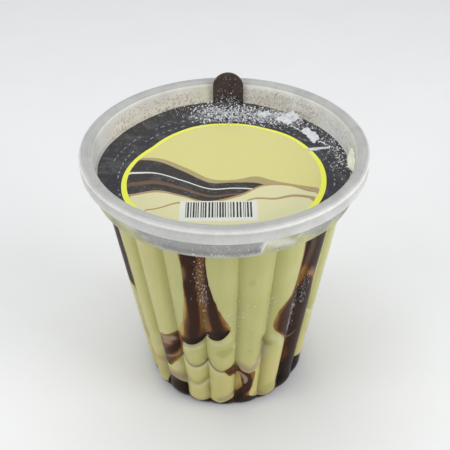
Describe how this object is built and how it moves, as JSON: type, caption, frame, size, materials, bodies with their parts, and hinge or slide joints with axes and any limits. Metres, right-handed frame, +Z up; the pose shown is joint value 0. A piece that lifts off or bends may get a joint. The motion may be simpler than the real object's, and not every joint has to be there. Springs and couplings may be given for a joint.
{
  "type": "gelato cup",
  "caption": "Fluted clear plastic cup of pale ice cream rippled with chocolate syrup, closed by a recessed printed lid with a pull tab.",
  "frame": {"origin": "centre of the base, on the surface the cup stands on", "axes": "+Z up along the cup's axis, -Y towards the front, +X to the right seen from the front"},
  "size_m": [0.084, 0.084, 0.0894],
  "materials": {
    "clear_plastic": "translucent, slightly frosted at the lip",
    "ice_cream": "soft satin frozen cream",
    "syrup": "dark glossy syrup, amber where thin",
    "printed_film": "printed film with a satin face"
  },
  "bodies": {
    "root": {"cup": "clear_plastic", "ice_cream": "ice_cream", "syrup_front": "syrup", "syrup_left": "syrup", "syrup_back_right": "syrup", "syrup_back_left": "syrup", "syrup_pool": "syrup", "lid": "printed_film"}
  },
  "joints": []
}
